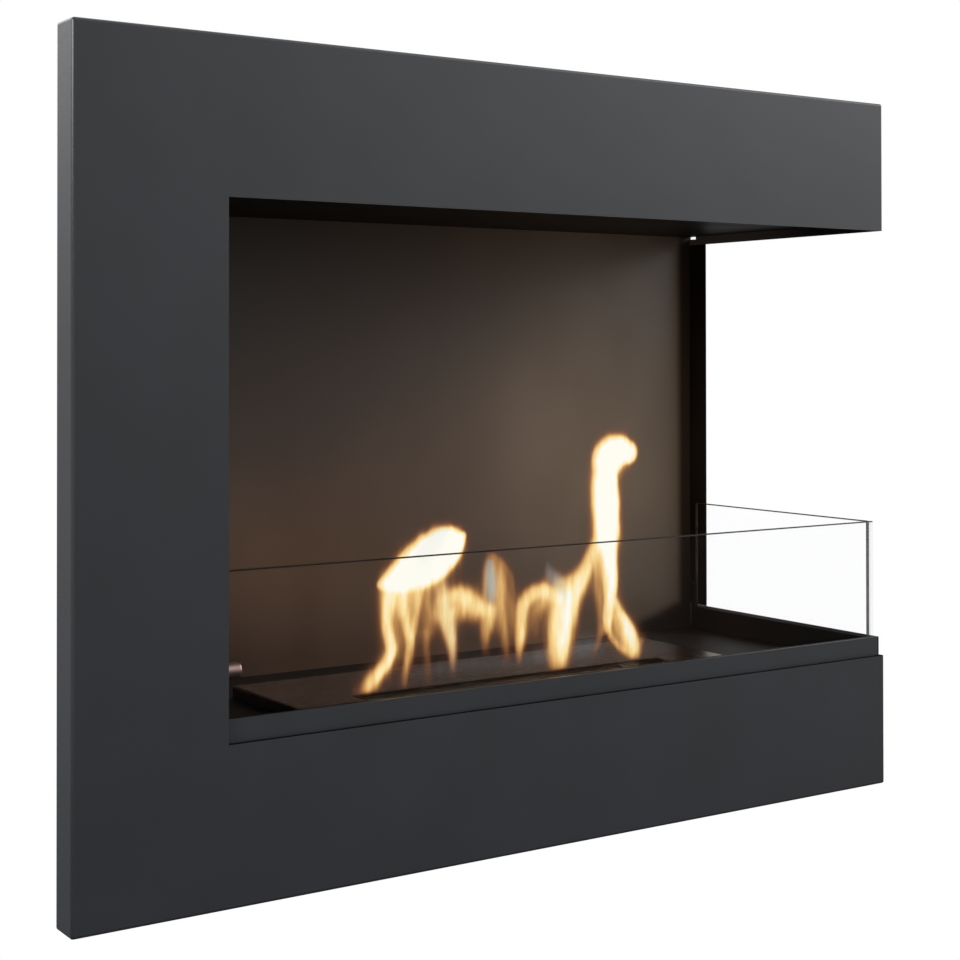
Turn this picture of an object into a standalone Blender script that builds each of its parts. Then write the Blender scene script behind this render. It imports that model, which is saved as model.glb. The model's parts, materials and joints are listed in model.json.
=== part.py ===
"""Corner bio-ethanol fireplace insert: a C-shaped fascia, a firebox open at the front and right,
a low glass guard, and a lift-out burner with a sliding shutter over its slot.

Metres, +Z up, +X along the front, +Y into the wall.  The origin is on the back of the casing,
at the middle of the fascia's width and height.
"""
import math

import bmesh
import bpy
from mathutils import Matrix, Vector

# Fascia and overall size
WIDTH = 1.000  # fascia, edge to edge
HEIGHT = 0.800
DEPTH = 0.360  # front of the fascia to the back of the casing
COLUMN = 0.150  # left band of the C
TOP_BEAM = 0.150
BOTTOM_BEAM = 0.150
FASCIA_RETURN = 0.035  # depth of the folded edges
FASCIA_SHEET = 0.002
BEND = 0.0007  # inside radius of a folded edge

# Casing and linings
SHEET = 0.0015
GAP = 0.0003  # between touching pieces
CASING_LAP = 0.023  # casing hidden behind the column, past the opening's edge
CASING_INSET = 0.040  # casing stands this far inside the fascia's top and bottom
LINER_SPACE = 0.012  # air behind the back liner
SIDE_LINER_SPACE = 0.011  # air beside the left liner
LEDGE_SETBACK = 0.0087  # ledge behind the front of the fascia
LEDGE_RISE = 0.021  # ledge above the bottom beam
LEDGE_HEM = 0.0035  # folded top of the ledge
STRIP_HEIGHT = 0.008  # foam strip between the fascia and the ledge
STRIP_DROP = 0.0006  # its top below the bottom beam's edge
FLOOR_DROP = 0.0095  # hearth floor below the bottom beam's edge
CEILING_RECESS = 0.011  # ceiling above the top beam's edge
POST_DEPTH = 0.046  # rear right post, front to back
POST_FOOT = 0.025  # its leg along the casing back
RELIEF_LENGTH = 0.012  # slot where the header, ceiling and post meet
RELIEF_HEIGHT = 0.0034
BEARER_FLANGE = 0.020
BEARER_INSET = 0.090  # bearers and hangers in from the casing's ends
BEARER_END = 0.030  # and short of its front and back
SPACER_RADIUS = 0.006
SPACER_INSET = 0.120
WALL_HOLE = 0.008
WALL_HOLE_INSET = 0.060

# Fascia studs and nuts, M5
STUD_RADIUS = 0.0025
STUD_LENGTH = 0.021
STUD_HOLE_RADIUS = 0.0033
STUD_INSET = 0.110  # in from the opening's left edge and from the right end
NUT_FLATS = 0.008
NUT_HEIGHT = 0.004

# Burner
BURNER_OFFSET = 0.050  # burner's middle right of the fascia's middle
SLOT_LENGTH = 0.400
SLOT_WIDTH = 0.028
SLOT_FROM_FRONT = 0.089  # front of the fascia to the front of the slot
PLATE_END = 0.080  # cover plate past the slot at each end
PLATE_FRONT = 0.053  # cover plate in front of the slot
PLATE_BACK = 0.122  # and behind it
PLATE_RISE = 0.014  # top of the cover plate above the hearth floor
TRIM_WALL = 0.0016
TRIM_HEIGHT = 0.003
TRIM_PROUD = 0.0006
SHUTTER_SHEET = 0.0012
SHUTTER_LAP = 0.004  # shutter past the slot on each side when closed
SHUTTER_END_LAP = 0.010
SHUTTER_DROP = 0.0031  # top of the shutter below the top of the cover plate
TONGUE_LENGTH = 0.008  # tongue that reaches into the open slot for the hook
TONGUE_WIDTH = 0.024
TONGUE_FROM_END = 0.030
TONGUE_HOLE = 0.004
GUIDE_SHEET = 0.001
GUIDE_LEG = 0.007
GUIDE_PLAY = 0.0004
TANK_SHEET = 0.0015
TANK_SIDE = 0.0185  # inside of the tank past the slot at front and back
TANK_END = 0.020  # and at each end
TANK_DEPTH = 0.060
TANK_FLANGE = 0.010
CUTOUT_CLEARANCE = 0.004  # hearth floor's cut-out past the inside of the tank
WOOL_CLEARANCE = 0.001
WOOL_BELOW_RIM = 0.006

# Glass guard
GLASS = 0.005
GLASS_HEIGHT = 0.160
GLASS_FROM_FRONT = 0.0135  # front of the fascia to the front pane
GLASS_FROM_SIDE = 0.0026  # right end of the fascia to the side pane
GLASS_CLEARANCE = 0.0005
GASKET = 0.0059  # rubber strip that the panes stand on
SEAL = 0.0009  # clear bead between the panes
SIDE_GLASS_END = 0.016  # side pane runs this far past the post's front edge
BAR = 0.0015  # flat bars behind the panes
BAR_HEIGHT = 0.029
STOP_THICKNESS = 0.003
STOP_HEIGHT = 0.060
CLAMP_RADIUS = 0.0075
CLAMP_LENGTH = 0.0270
CLAMP_ROOT = 0.0043  # solid end of the clamp, before its slit
CLAMP_ABOVE_LEDGE = 0.0436
GRUB_RADIUS = 0.0014
GRUB_LENGTH = 0.004
FIXING_HEAD_RADIUS = 0.004
FIXING_HEAD = 0.0035
FIXING_SHANK_RADIUS = 0.002
RIVET_RADIUS = 0.0024
RIVET_HEAD_RADIUS = 0.0045
RIVET_HEAD = 0.0012

# Planes that the pieces share
LEFT, RIGHT = -WIDTH / 2, WIDTH / 2
BOTTOM, TOP = -HEIGHT / 2, HEIGHT / 2
FRONT, BACK = -DEPTH, 0.0
OPEN_LEFT = LEFT + COLUMN
OPEN_TOP = TOP - TOP_BEAM
OPEN_BOTTOM = BOTTOM + BOTTOM_BEAM
RETURN_BACK = FRONT + FASCIA_RETURN + GAP
CASING_LEFT = OPEN_LEFT - CASING_LAP
CASING_TOP = TOP - CASING_INSET
CASING_BOTTOM = BOTTOM + CASING_INSET
SHELL_BACK = BACK - SHEET - GAP  # where pieces inside the casing back end
CORE_LEFT = CASING_LEFT + SHEET + GAP
CORE_RIGHT = RIGHT - max(FASCIA_SHEET, SHEET) - GAP
LEDGE_Y = FRONT + LEDGE_SETBACK
LEDGE_TOP = OPEN_BOTTOM + LEDGE_RISE
CORE_FRONT = LEDGE_Y + SHEET + GAP
WALL_FRONT = LEDGE_Y + LEDGE_HEM + GAP  # side walls start behind the ledge's folded top
FLOOR_TOP = OPEN_BOTTOM - FLOOR_DROP
CEILING = OPEN_TOP + CEILING_RECESS
BACK_LINER = BACK - SHEET - LINER_SPACE - SHEET
SIDE_LINER = CASING_LEFT + SHEET + SIDE_LINER_SPACE
POST_FRONT = BACK - POST_DEPTH
BURNER_X = BURNER_OFFSET
SLOT_FRONT = FRONT + SLOT_FROM_FRONT
SLOT_BACK = SLOT_FRONT + SLOT_WIDTH
PLATE_TOP = FLOOR_TOP + PLATE_RISE
SHUTTER_TOP = PLATE_TOP - SHUTTER_DROP
SHUTTER_HALF = SLOT_LENGTH / 2 + SHUTTER_END_LAP
GUIDE_BOTTOM = SHUTTER_TOP - SHUTTER_SHEET - GUIDE_PLAY - GUIDE_SHEET
TANK_RIM = GUIDE_BOTTOM - GAP
GLASS_Y = FRONT + GLASS_FROM_FRONT
GLASS_X = RIGHT - GLASS_FROM_SIDE  # outer face of the side pane
GLASS_BOTTOM = FLOOR_TOP + GAP + GASKET + GAP
SIDE_GLASS_FRONT = GLASS_Y + GLASS + GAP + SEAL + GAP
SIDE_GLASS_BACK = POST_FRONT + SIDE_GLASS_END
BAR_BACK = GLASS_Y + GLASS + 3 * GLASS_CLEARANCE + BAR
CLAMP_Y = GLASS_Y + GLASS / 2
CLAMP_Z = LEDGE_TOP + CLAMP_ABOVE_LEDGE
CLAMP_START = SIDE_LINER + SHEET + GAP

for old in list(bpy.data.objects):
    bpy.data.objects.remove(old, do_unlink=True)

parts = bpy.data.collections.new("corner_fireplace")
cutters = bpy.data.collections.new("cutters")
bpy.context.scene.collection.children.link(parts)
bpy.context.scene.collection.children.link(cutters)


def finish(name, colour, roughness, metallic=0.0, transmission=0.0):
    """A Principled material with the piece's colour, roughness and metal."""
    material = bpy.data.materials.new(name)
    material.use_nodes = True
    shader = material.node_tree.nodes["Principled BSDF"]
    shader.inputs["Base Color"].default_value = (*colour, 1.0)
    shader.inputs["Roughness"].default_value = roughness
    shader.inputs["Metallic"].default_value = metallic
    shader.inputs["Transmission Weight"].default_value = transmission
    return material


GRAPHITE = ("graphite_powder_coat", (0.040, 0.043, 0.047), 0.55)
LINING = ("black_stove_enamel", (0.018, 0.015, 0.013), 0.35)
GALVANISED = ("galvanised_sheet", (0.42, 0.43, 0.44), 0.45, 1.0)
STAINLESS = ("brushed_stainless", (0.55, 0.54, 0.52), 0.30, 1.0)
ZINC = ("zinc_plated", (0.60, 0.60, 0.58), 0.35, 1.0)
CLEAR_GLASS = ("toughened_glass", (0.90, 0.95, 0.93), 0.02, 0.0, 1.0)
RUBBER = ("black_rubber", (0.020, 0.020, 0.020), 0.80)
CLEAR_SEAL = ("clear_silicone", (0.80, 0.82, 0.82), 0.30, 0.0, 0.6)
WOOL = ("ceramic_fibre", (0.80, 0.78, 0.73), 0.95)


def add_part(name, mesh, look, matrix=None, collection=None):
    """One named object holding the mesh, with its own material."""
    part = bpy.data.objects.new(name, mesh)
    (collection or parts).objects.link(part)
    if matrix is not None:
        part.matrix_world = matrix
    if look is not None:
        mesh.materials.clear()
        mesh.materials.append(finish(f"{name}_{look[0]}", *look[1:]))
    return part


def smooth(part, angle=35.0):
    part.data.shade_smooth()
    part.data.set_sharp_from_angle(angle=math.radians(angle))


def bevel(part, width, segments=2):
    modifier = part.modifiers.new("edges", "BEVEL")
    modifier.width = width
    modifier.segments = segments
    modifier.limit_method = "ANGLE"
    modifier.angle_limit = math.radians(40)
    return modifier


def solidify(part, thickness, offset):
    modifier = part.modifiers.new("sheet", "SOLIDIFY")
    modifier.thickness = thickness
    modifier.offset = offset
    modifier.use_even_offset = True
    return modifier


def cut(part, cutter):
    """Takes the cutter's shape out of the part."""
    cutter.hide_render = True
    cutter.display_type = "WIRE"
    modifier = part.modifiers.new(f"cut_{cutter.name}", "BOOLEAN")
    modifier.operation = "DIFFERENCE"
    modifier.solver = "EXACT"
    modifier.object = cutter


def block(name, low, high, look, collection=None):
    """A box between two corners, with its origin at its middle."""
    low, high = Vector(low), Vector(high)
    mesh = bpy.data.meshes.new(name)
    body = bmesh.new()
    bmesh.ops.create_cube(body, size=1.0)
    bmesh.ops.scale(body, vec=high - low, verts=body.verts)
    body.to_mesh(mesh)
    body.free()
    return add_part(name, mesh, look, Matrix.Translation((low + high) / 2), collection)


def along(axis):
    """Turns +Z onto the named axis."""
    if axis == "X":
        return Matrix.Rotation(math.pi / 2, 4, "Y")
    if axis == "Y":
        return Matrix.Rotation(-math.pi / 2, 4, "X")
    return Matrix.Identity(4)


def rod(name, start, axis, length, radius, look, sides=24, collection=None):
    """A cylinder that begins at start and runs along +axis."""
    mesh = bpy.data.meshes.new(name)
    body = bmesh.new()
    bmesh.ops.create_cone(
        body, cap_ends=True, segments=sides, radius1=radius, radius2=radius, depth=length
    )
    bmesh.ops.translate(body, vec=(0, 0, length / 2), verts=body.verts)
    body.to_mesh(mesh)
    body.free()
    matrix = Matrix.Translation(start) @ along(axis)
    part = add_part(name, mesh, look, matrix, collection)
    smooth(part)
    return part


def turned(name, start, axis, profile, look, steps=20):
    """A profile of (radius, height) pairs, listed from top to bottom, turned about +axis."""
    mesh = bpy.data.meshes.new(name)
    body = bmesh.new()
    ring = [body.verts.new((radius, 0, height)) for radius, height in profile]
    for first, second in zip(ring, ring[1:]):
        body.edges.new((first, second))
    body.to_mesh(mesh)
    body.free()
    part = add_part(name, mesh, look, Matrix.Translation(start) @ along(axis))
    screw = part.modifiers.new("turn", "SCREW")
    screw.steps = steps
    screw.render_steps = steps
    screw.use_merge_vertices = True
    screw.merge_threshold = 0.00001
    return part


def circle(x, y, radius, sides=16):
    """Points round a hole in a flat sheet."""
    turns = [2 * math.pi * i / sides for i in range(sides)]
    return [(x + radius * math.cos(a), y + radius * math.sin(a)) for a in turns]


def rectangle(low, high):
    return [(low[0], low[1]), (high[0], low[1]), (high[0], high[1]), (low[0], high[1])]


def flat_sheet(name, facing, level, outline, look, thickness=SHEET, holes=()):
    """A flat plate: a filled outline in the two axes across facing, from level upwards."""
    curve = bpy.data.curves.new(name, "CURVE")
    curve.dimensions = "2D"
    curve.fill_mode = "BOTH"
    curve.extrude = thickness / 2
    for ring in (outline, *holes):
        spline = curve.splines.new("POLY")
        spline.points.add(len(ring) - 1)
        for point, (u, v) in zip(spline.points, ring):
            point.co = (u, v, 0, 1)
        spline.use_cyclic_u = True
    columns = {
        "X": ((0, 1, 0), (0, 0, 1), (1, 0, 0)),
        "Y": ((1, 0, 0), (0, 0, 1), (0, -1, 0)),
        "Z": ((1, 0, 0), (0, 1, 0), (0, 0, 1)),
    }[facing]
    turn = Matrix(columns).transposed().to_4x4()
    middle = Vector([level + thickness / 2 if axis == facing else 0 for axis in "XYZ"])
    drawn = bpy.data.objects.new(name + "_outline", curve)
    parts.objects.link(drawn)
    mesh = bpy.data.meshes.new_from_object(drawn.evaluated_get(bpy.context.evaluated_depsgraph_get()))
    bpy.data.objects.remove(drawn)
    body = bmesh.new()
    body.from_mesh(mesh)
    bmesh.ops.remove_doubles(body, verts=body.verts, dist=0.00001)
    bmesh.ops.recalc_face_normals(body, faces=body.faces)
    body.to_mesh(mesh)
    body.free()
    mesh.name = name
    return add_part(name, mesh, look, Matrix.Translation(middle) @ turn)


def folded(name, axis, start, end, profile, look, thickness=SHEET, side=-1.0):
    """A folded sheet: an open line of points across axis, drawn out from start to end."""
    order = {"X": (1, 2, 0), "Y": (0, 2, 1), "Z": (0, 1, 2)}[axis]
    body = bmesh.new()
    line = []
    for pair in profile:
        point = [0.0, 0.0, 0.0]
        point[order[0]], point[order[1]], point[order[2]] = pair[0], pair[1], start
        line.append(body.verts.new(point))
    edges = [body.edges.new(pair) for pair in zip(line, line[1:])]
    drawn = bmesh.ops.extrude_edge_only(body, edges=edges)["geom"]
    moved = [item for item in drawn if isinstance(item, bmesh.types.BMVert)]
    shift = Vector([end - start if name_ == axis else 0 for name_ in "XYZ"])
    bmesh.ops.translate(body, vec=shift, verts=moved)
    mesh = bpy.data.meshes.new(name)
    body.to_mesh(mesh)
    body.free()
    part = add_part(name, mesh, look)
    solidify(part, thickness, side)
    return part


def fascia():
    """C-shaped front sheet with its outer edges folded back."""
    outline = [
        (LEFT, BOTTOM), (RIGHT, BOTTOM), (RIGHT, OPEN_BOTTOM), (OPEN_LEFT, OPEN_BOTTOM),
        (OPEN_LEFT, OPEN_TOP), (RIGHT, OPEN_TOP), (RIGHT, TOP), (LEFT, TOP),
    ]
    folds = (0, 1, 5, 6, 7)  # bottom, lower right end, upper right end, top, left
    body = bmesh.new()
    corners = [body.verts.new((x, FRONT, z)) for x, z in outline]
    body.faces.new(corners)
    body.edges.ensure_lookup_table()
    edges = [body.edges.get((corners[i], corners[(i + 1) % len(corners)])) for i in folds]
    drawn = bmesh.ops.extrude_edge_only(body, edges=edges)["geom"]
    moved = [item for item in drawn if isinstance(item, bmesh.types.BMVert)]
    bmesh.ops.translate(body, vec=(0, FASCIA_RETURN, 0), verts=moved)
    bmesh.ops.recalc_face_normals(body, faces=body.faces)
    mesh = bpy.data.meshes.new("fascia_panel")
    body.to_mesh(mesh)
    body.free()
    part = add_part("fascia_panel", mesh, GRAPHITE)
    bevel(part, FASCIA_SHEET + BEND, 3)
    solidify(part, FASCIA_SHEET, -1.0)
    smooth(part)


def stud_places():
    """Where the fascia's studs pass through the header and the base."""
    header = (OPEN_TOP + CEILING_RECESS + CASING_TOP) / 2
    base = (CASING_BOTTOM + FLOOR_TOP) / 2
    columns = (OPEN_LEFT + STUD_INSET, RIGHT - STUD_INSET)
    return [(x, z) for z in (header, base) for x in columns]


def fascia_fixings():
    """Studs welded behind the fascia, and the nuts inside the casing."""
    for number, (x, z) in enumerate(stud_places(), 1):
        start = (x, FRONT + FASCIA_SHEET + GAP, z)
        rod(f"fascia_stud_{number}", start, "Y", STUD_LENGTH, STUD_RADIUS, ZINC, 16)
        corner = NUT_FLATS / math.sqrt(3)
        flat_sheet(
            f"fascia_nut_{number}", "Y", CORE_FRONT, circle(x, z, corner, 6), ZINC,
            NUT_HEIGHT, [circle(x, z, STUD_RADIUS + GAP)],
        )


def drill_for_studs(part, above):
    """Holes for the studs on one side of the opening."""
    for number, (x, z) in enumerate(stud_places(), 1):
        if (z > 0) == above:
            start = (x, LEDGE_Y - SHEET, z)
            hole = rod(
                f"stud_hole_{number}", start, "Y", 4 * SHEET, STUD_HOLE_RADIUS, None, 16, cutters
            )
            cut(part, hole)


def casing():
    """Outer box, open at the front and on the right between the header and the base."""
    inset = WALL_HOLE_INSET
    holes = [
        circle(x, z, WALL_HOLE / 2)
        for x in (CASING_LEFT + inset, RIGHT - inset)
        for z in (CASING_BOTTOM + inset, CASING_TOP - inset)
    ]
    outline = rectangle((CASING_LEFT, CASING_BOTTOM), (RIGHT, CASING_TOP))
    flat_sheet("casing_back", "Y", BACK - SHEET, outline, GALVANISED, holes=holes)
    low, high = CASING_BOTTOM + SHEET + GAP, CASING_TOP - SHEET - GAP
    side = rectangle((WALL_FRONT, low), (SHELL_BACK, high))
    flat_sheet("casing_left", "X", CASING_LEFT, side, GALVANISED)
    lid = rectangle((CASING_LEFT, RETURN_BACK), (RIGHT, SHELL_BACK))
    flat_sheet("casing_top", "Z", CASING_TOP - SHEET, lid, GALVANISED)
    flat_sheet("casing_bottom", "Z", CASING_BOTTOM, lid, GALVANISED)


def header():
    """Box above the opening: its front behind the fascia, its end and the ceiling."""
    flange = RETURN_BACK - GAP
    profile = [(LEDGE_Y, OPEN_TOP + SHEET), (LEDGE_Y, CASING_TOP), (flange, CASING_TOP)]
    front = folded("header_front_panel", "X", CASING_LEFT, CORE_RIGHT, profile, GALVANISED)
    drill_for_studs(front, True)
    slot = rectangle(
        (BACK_LINER - RELIEF_LENGTH, CEILING - RELIEF_HEIGHT), (BACK_LINER - GAP, CEILING)
    )
    end = rectangle((RETURN_BACK, OPEN_TOP), (SHELL_BACK, CASING_TOP - SHEET - GAP))
    flat_sheet("header_side_panel", "X", RIGHT - SHEET, end, GRAPHITE, holes=[slot])
    ceiling = rectangle((CORE_LEFT, CORE_FRONT), (CORE_RIGHT, SHELL_BACK))
    flat_sheet("ceiling_panel", "Z", CEILING, ceiling, LINING)


def base():
    """Box below the opening: the ledge along the front, the end panel and the hearth floor."""
    flange = RETURN_BACK - GAP
    profile = [
        (flange, CASING_BOTTOM), (LEDGE_Y, CASING_BOTTOM), (LEDGE_Y, LEDGE_TOP),
        (LEDGE_Y + LEDGE_HEM, LEDGE_TOP),
    ]
    front = folded("base_front_panel", "X", CASING_LEFT, CORE_RIGHT, profile, GRAPHITE)
    drill_for_studs(front, False)
    low = CASING_BOTTOM + SHEET + GAP
    end = [
        (RETURN_BACK, low), (SHELL_BACK, low), (SHELL_BACK, LEDGE_TOP), (LEDGE_Y, LEDGE_TOP),
        (LEDGE_Y, OPEN_BOTTOM + GAP), (RETURN_BACK, OPEN_BOTTOM + GAP),
    ]
    flat_sheet("base_side_panel", "X", RIGHT - SHEET, end, GRAPHITE)
    half = SLOT_LENGTH / 2 + TANK_END + CUTOUT_CLEARANCE
    reach = TANK_SIDE + CUTOUT_CLEARANCE
    cutout = rectangle((BURNER_X - half, SLOT_FRONT - reach), (BURNER_X + half, SLOT_BACK + reach))
    floor = rectangle((CORE_LEFT, CORE_FRONT), (CORE_RIGHT, SHELL_BACK))
    flat_sheet("hearth_floor", "Z", FLOOR_TOP - SHEET, floor, LINING, holes=[cutout])
    strip_top = OPEN_BOTTOM - STRIP_DROP
    block(
        "joint_strip", (OPEN_LEFT, FRONT + FASCIA_SHEET + GAP, strip_top - STRIP_HEIGHT),
        (RIGHT - FASCIA_SHEET - BEND - GAP, LEDGE_Y - GAP, strip_top), RUBBER,
    )


def linings():
    """Back and left walls of the firebox, with the spacers that hold the back one off."""
    low, high = FLOOR_TOP + GAP, CEILING - GAP
    flat_sheet(
        "back_liner", "Y", BACK_LINER, rectangle((CORE_LEFT, low), (CORE_RIGHT, high)), LINING
    )
    flat_sheet(
        "left_liner", "X", SIDE_LINER, rectangle((WALL_FRONT, low), (BACK_LINER - GAP, high)),
        LINING, holes=[circle(CLAMP_Y, CLAMP_Z, FIXING_SHANK_RADIUS + GAP)],
    )
    start = BACK_LINER + SHEET + GAP
    places = [
        (x, z)
        for x in (CASING_LEFT + SPACER_INSET, RIGHT - SPACER_INSET)
        for z in (OPEN_BOTTOM + SPACER_INSET, OPEN_TOP - SPACER_INSET)
    ]
    for number, (x, z) in enumerate(places, 1):
        rod(
            f"liner_spacer_{number}", (x, start, z), "Y", SHELL_BACK - start, SPACER_RADIUS,
            GALVANISED, 16,
        )


def supports():
    """Channels that carry the hearth floor and hang the ceiling."""
    front, back = CORE_FRONT + BEARER_END, SHELL_BACK - BEARER_END
    levels = {
        "hearth_bearer": (CASING_BOTTOM + SHEET + GAP, FLOOR_TOP - SHEET - GAP),
        "ceiling_hanger": (CEILING + SHEET + GAP, CASING_TOP - SHEET - GAP),
    }
    ends = {"left": (CASING_LEFT + BEARER_INSET, -1.0), "right": (RIGHT - BEARER_INSET, 1.0)}
    for kind, (low, high) in levels.items():
        for end, (x, toward) in ends.items():
            tip = x + toward * BEARER_FLANGE
            profile = [(tip, low), (x, low), (x, high), (tip, high)]
            folded(f"{kind}_{end}", "Y", front, back, profile, GALVANISED, side=toward)


def post():
    """Slim folded post at the rear right, riveted to the casing back."""
    corner = SHELL_BACK
    profile = [(RIGHT, POST_FRONT), (RIGHT, corner), (RIGHT - POST_FOOT, corner)]
    low, high = LEDGE_TOP + GAP, OPEN_TOP - GAP
    folded("rear_right_post", "Z", low, high, profile, GRAPHITE, side=1.0)
    middle = (low + high) / 2
    spread = (high - low) / 2 - WALL_HOLE_INSET
    face = corner - SHEET - GAP
    for number, z in enumerate((middle - spread, middle, middle + spread), 1):
        start = (RIGHT - POST_FOOT * 0.6, face, z)
        head = [
            (0, 0), (RIVET_RADIUS, 0), (RIVET_HEAD_RADIUS, 0),
            (RIVET_HEAD_RADIUS * 0.8, -RIVET_HEAD * 0.7), (0, -RIVET_HEAD),
        ]
        turned(f"post_rivet_{number}", start, "Y", head, ZINC, 12)


def cover_plate():
    """Inverted shallow tray with the long slot in it."""
    half = SLOT_LENGTH / 2 + PLATE_END
    low = Vector((BURNER_X - half, SLOT_FRONT - PLATE_FRONT, FLOOR_TOP + GAP))
    high = Vector((BURNER_X + half, SLOT_BACK + PLATE_BACK, PLATE_TOP))
    body = bmesh.new()
    bmesh.ops.create_cube(body, size=1.0)
    bmesh.ops.scale(body, vec=high - low, verts=body.verts)
    underside = [face for face in body.faces if face.normal.z < -0.5]
    bmesh.ops.delete(body, geom=underside, context="FACES_ONLY")
    mesh = bpy.data.meshes.new("burner_cover_plate")
    body.to_mesh(mesh)
    body.free()
    part = add_part("burner_cover_plate", mesh, STAINLESS, Matrix.Translation((low + high) / 2))
    bevel(part, SHEET + BEND, 2)
    solidify(part, SHEET, -1.0)
    reach = TRIM_WALL + GAP
    hole = block(
        "burner_slot",
        (BURNER_X - SLOT_LENGTH / 2 - reach, SLOT_FRONT - reach, PLATE_TOP - 3 * SHEET),
        (BURNER_X + SLOT_LENGTH / 2 + reach, SLOT_BACK + reach, PLATE_TOP + 3 * SHEET),
        None, cutters,
    )
    cut(part, hole)
    smooth(part)


def slot_trim():
    """Thin frame that lines the slot and stands a little proud of the plate."""
    half = SLOT_LENGTH / 2
    outer = rectangle(
        (BURNER_X - half - TRIM_WALL, SLOT_FRONT - TRIM_WALL),
        (BURNER_X + half + TRIM_WALL, SLOT_BACK + TRIM_WALL),
    )
    inner = rectangle((BURNER_X - half, SLOT_FRONT), (BURNER_X + half, SLOT_BACK))
    level = PLATE_TOP + TRIM_PROUD - TRIM_HEIGHT
    flat_sheet("slot_trim", "Z", level, outer, STAINLESS, TRIM_HEIGHT, [inner])


def shutter():
    """Sliding plate under the cover, shown open, with a holed tongue for the hook."""
    near = SLOT_BACK + SHUTTER_LAP / 2
    far = near + SLOT_WIDTH + 2 * SHUTTER_LAP
    tip = near - TONGUE_LENGTH
    left, right = BURNER_X - SHUTTER_HALF, BURNER_X + SHUTTER_HALF
    tongue_right = BURNER_X + SLOT_LENGTH / 2 - TONGUE_FROM_END
    tongue_left = tongue_right - TONGUE_WIDTH
    outline = [
        (left, near), (tongue_left, near), (tongue_left, tip), (tongue_right, tip),
        (tongue_right, near), (right, near), (right, far), (left, far),
    ]
    hole = circle((tongue_left + tongue_right) / 2, tip + TONGUE_HOLE, TONGUE_HOLE / 2, 12)
    level = SHUTTER_TOP - SHUTTER_SHEET
    flat_sheet("burner_shutter", "Z", level, outline, STAINLESS, SHUTTER_SHEET, [hole])


def shutter_guides():
    """Channels under the cover plate that hold the shutter's two ends."""
    top = SHUTTER_TOP + GUIDE_PLAY + GUIDE_SHEET
    front = SLOT_FRONT - 2 * SHUTTER_LAP
    back = SLOT_BACK + SLOT_WIDTH + 4 * SHUTTER_LAP
    for end, toward in (("left", -1.0), ("right", 1.0)):
        web = BURNER_X + toward * (SHUTTER_HALF + GUIDE_PLAY + GUIDE_SHEET)
        tip = web - toward * GUIDE_LEG
        profile = [(tip, GUIDE_BOTTOM), (web, GUIDE_BOTTOM), (web, top), (tip, top)]
        folded(
            f"shutter_guide_{end}", "Y", front, back, profile, STAINLESS, GUIDE_SHEET,
            side=-toward,
        )


def tank():
    """Open fuel tank with a flange, and the fibre block that soaks up the fuel."""
    half = SLOT_LENGTH / 2 + TANK_END
    low = Vector((BURNER_X - half, SLOT_FRONT - TANK_SIDE, TANK_RIM - TANK_DEPTH))
    high = Vector((BURNER_X + half, SLOT_BACK + TANK_SIDE, TANK_RIM))
    body = bmesh.new()
    bmesh.ops.create_cube(body, size=1.0)
    bmesh.ops.scale(body, vec=high - low, verts=body.verts)
    top = [face for face in body.faces if face.normal.z > 0.5]
    bmesh.ops.delete(body, geom=top, context="FACES_ONLY")
    rim = [edge for edge in body.edges if edge.is_boundary]
    drawn = bmesh.ops.extrude_edge_only(body, edges=rim)["geom"]
    for vert in (item for item in drawn if isinstance(item, bmesh.types.BMVert)):
        vert.co.x += math.copysign(TANK_FLANGE, vert.co.x)
        vert.co.y += math.copysign(TANK_FLANGE, vert.co.y)
    bmesh.ops.recalc_face_normals(body, faces=body.faces)
    mesh = bpy.data.meshes.new("burner_tank")
    body.to_mesh(mesh)
    body.free()
    part = add_part("burner_tank", mesh, STAINLESS, Matrix.Translation((low + high) / 2))
    solidify(part, TANK_SHEET, -1.0)
    wool_low = low + Vector((WOOL_CLEARANCE, WOOL_CLEARANCE, WOOL_CLEARANCE))
    wool_high = high - Vector((WOOL_CLEARANCE, WOOL_CLEARANCE, WOOL_BELOW_RIM))
    block("ceramic_wool", wool_low, wool_high, WOOL)


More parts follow.
